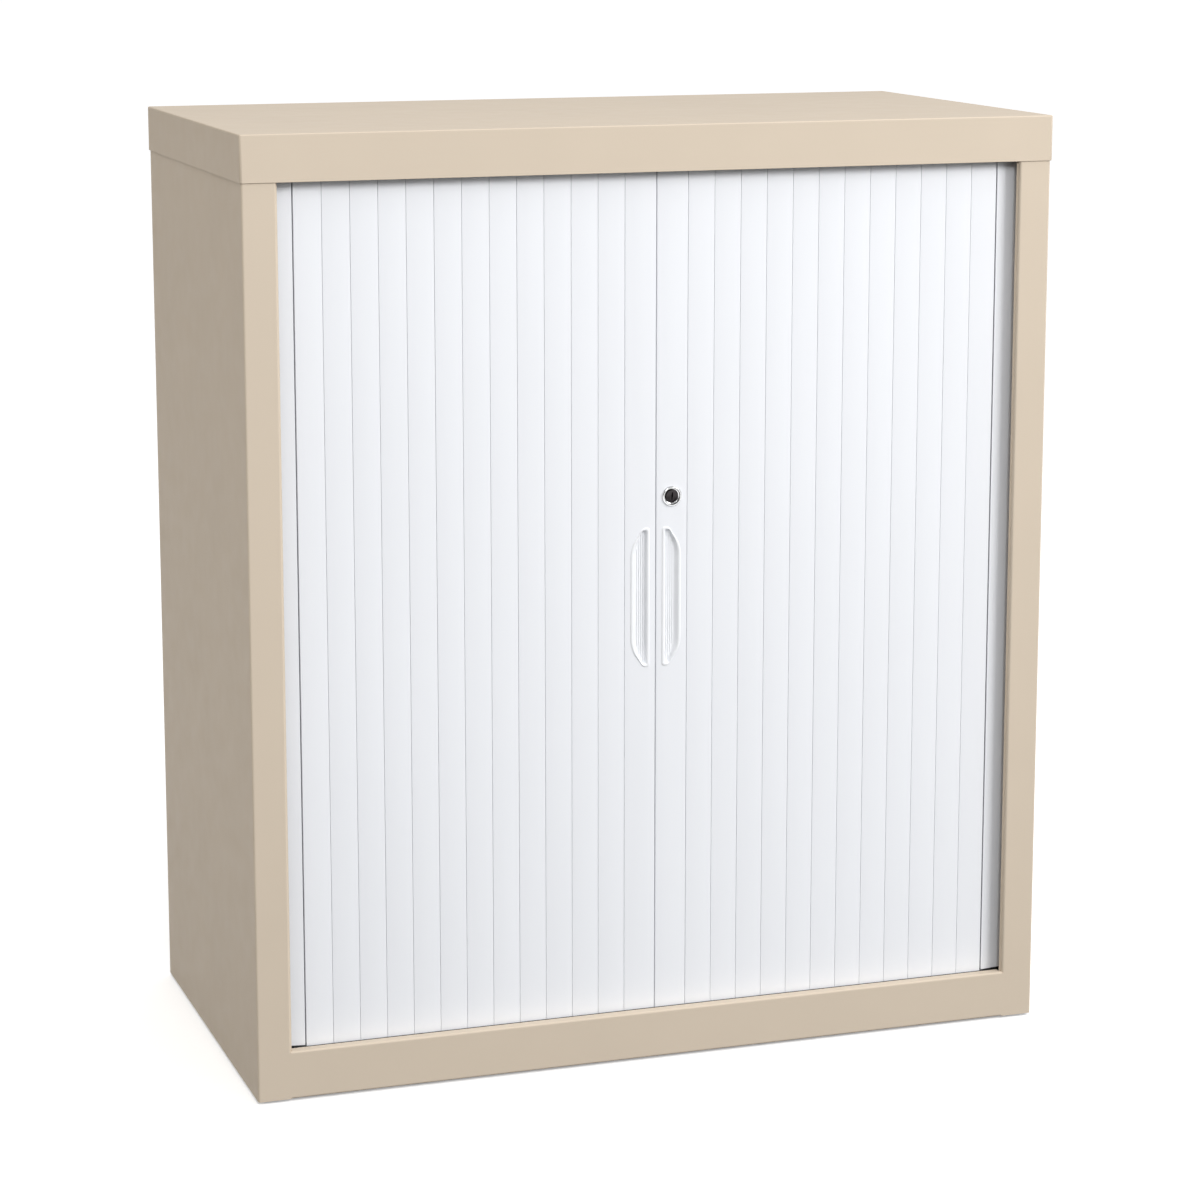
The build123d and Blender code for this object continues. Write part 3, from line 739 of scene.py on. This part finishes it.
def make_foot(name, finishes):
    """Levelling foot: a moulded pad with a grip edge, and its threaded screw."""
    low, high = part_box(name)
    centre = ((low.x + high.x) / 2, (low.y + high.y) / 2, low.z)
    radius = (high.x - low.x) / 2
    bm = bmesh.new()
    profile = [(0, 0)] + [(radius - inset * MM, up * MM) for inset, up in PAD_STEPS]
    profile += [(SCREW_RADIUS + wider * MM, up * MM) for wider, up in PAD_NECK] + [(0, PAD_TOP)]
    add_lathe(bm, profile, centre, "Z", False)
    pad = add_object(f"{name}_pad", bm, SMOOTH_MOULDING)
    place(pad, name, "foot", finishes, [name])

    bm = bmesh.new()
    tall = high.z - low.z
    profile = [(0, PAD_TOP - PAD_OVERLAP), (SCREW_RADIUS, PAD_TOP - PAD_OVERLAP)]
    for turn in range(int((tall - PAD_TOP) / THREAD_PITCH)):
        at = PAD_TOP + turn * THREAD_PITCH
        profile += [(SCREW_RADIUS, at), (SCREW_RADIUS - THREAD_DEPTH, at + THREAD_PITCH / 2)]
    profile += [(SCREW_RADIUS - THREAD_DEPTH, tall - SCREW_END)]
    profile += [(SCREW_RADIUS - SCREW_POINT, tall), (0, tall)]
    add_lathe(bm, profile, centre, "Z", False)
    bolt = add_object(f"{name}_bolt", bm, SMOOTH_MOULDING)
    lay(bolt, name, finishes["zinc"])


def make_dressed_seam(side_name, side, finishes):
    """Filler, ground flush and painted over, in the stile's bend where the bottom rail meets it."""
    low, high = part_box("bottom_front_rail")
    bend = STILE_BEND
    outline = [(high.x, low.y)]
    for step in range(BEND_STEPS + 1):
        angle = math.pi / 2 * step / BEND_STEPS
        outline.append((high.x + bend - bend * math.sin(angle), low.y + bend - bend * math.cos(angle)))
    bm = bmesh.new()
    add_prism(bm, [(side * x, y) for x, y in outline], low.z, high.z - SEAM_BELOW)
    seam = add_object(f"{side_name}_dressed_seam", bm, SMOOTH_MOULDING)
    lay(seam, "root", finishes["carcass"])


# ---------------------------------------------------------------- studio


def light_room(tree):
    """White room, brightest overhead and dimmer to the left."""
    direction = tree.nodes.new("ShaderNodeTexCoord").outputs["Generated"]
    parts = tree.nodes.new("ShaderNodeSeparateXYZ")
    tree.links.new(direction, parts.inputs["Vector"])
    strength = None
    for axis, gain in (("X", ROOM_RIGHT), ("Z", ROOM_ABOVE)):
        step = tree.nodes.new("ShaderNodeMath")
        step.operation = "MULTIPLY_ADD"
        tree.links.new(parts.outputs[axis], step.inputs[0])
        step.inputs[1].default_value = gain
        step.inputs[2].default_value = ROOM_LEVEL
        if strength:
            tree.links.new(strength, step.inputs[2])
        strength = step.outputs["Value"]
    least = tree.nodes.new("ShaderNodeMath")
    least.operation = "MAXIMUM"
    tree.links.new(strength, least.inputs[0])
    least.inputs[1].default_value = ROOM_DARKEST
    tree.links.new(least.outputs["Value"], tree.nodes["Background"].inputs["Strength"])
    tree.nodes["Background"].inputs["Color"].default_value = (*WHITE, 1)


def make_studio():
    """Pale floor, which casts no light back on the cupboard, soft lights and the camera."""
    bm = bmesh.new()
    bmesh.ops.create_grid(bm, x_segments=1, y_segments=1, size=FLOOR_HALF)
    floor = add_object("studio_floor", bm)
    floor.data.materials.append(pale_floor())
    floor.visible_diffuse = False

    world = bpy.data.worlds.new("studio")
    world.use_nodes = True
    light_room(world.node_tree)
    bpy.context.scene.world = world

    for name, place_at, target, size, power, colour in LIGHTS:
        data = bpy.data.lights.new(name, "AREA")
        data.shape = "RECTANGLE"
        data.size, data.size_y = size
        data.energy = power
        data.color = colour
        lamp = bpy.data.objects.new(name, data)
        lamp.location = place_at
        lamp.rotation_euler = (Vector(target) - Vector(place_at)).to_track_quat("-Z", "Y").to_euler()
        bpy.context.scene.collection.objects.link(lamp)

    data = bpy.data.cameras.new("camera")
    data.lens = CAMERA_LENS
    data.shift_y = CAMERA_SHIFT
    camera = bpy.data.objects.new("camera", data)
    camera.location = CAMERA_AT
    camera.rotation_euler = (math.pi / 2 - CAMERA_DOWN, 0, -CAMERA_TURN)
    bpy.context.scene.collection.objects.link(camera)
    bpy.context.scene.camera = camera
    bpy.context.scene.view_settings.view_transform = "Standard"


finishes = make_finishes()
finishes["web"] = web_plastic_painted_groove_shade()
finish_cad_nodes(finishes)
for side_name, side in SIDES.items():
    make_curtain(side_name, side, finishes)
    make_corner(side_name, side, finishes)
    make_leading_slat(side_name, side, finishes)
    make_pull(side_name, side, finishes)
    make_dressed_seam(side_name, side, finishes)
    for row in ("front", "rear"):
        make_foot(f"{row}_{side_name}_foot", finishes)
make_lock(finishes)
make_plug(finishes)
make_studio()
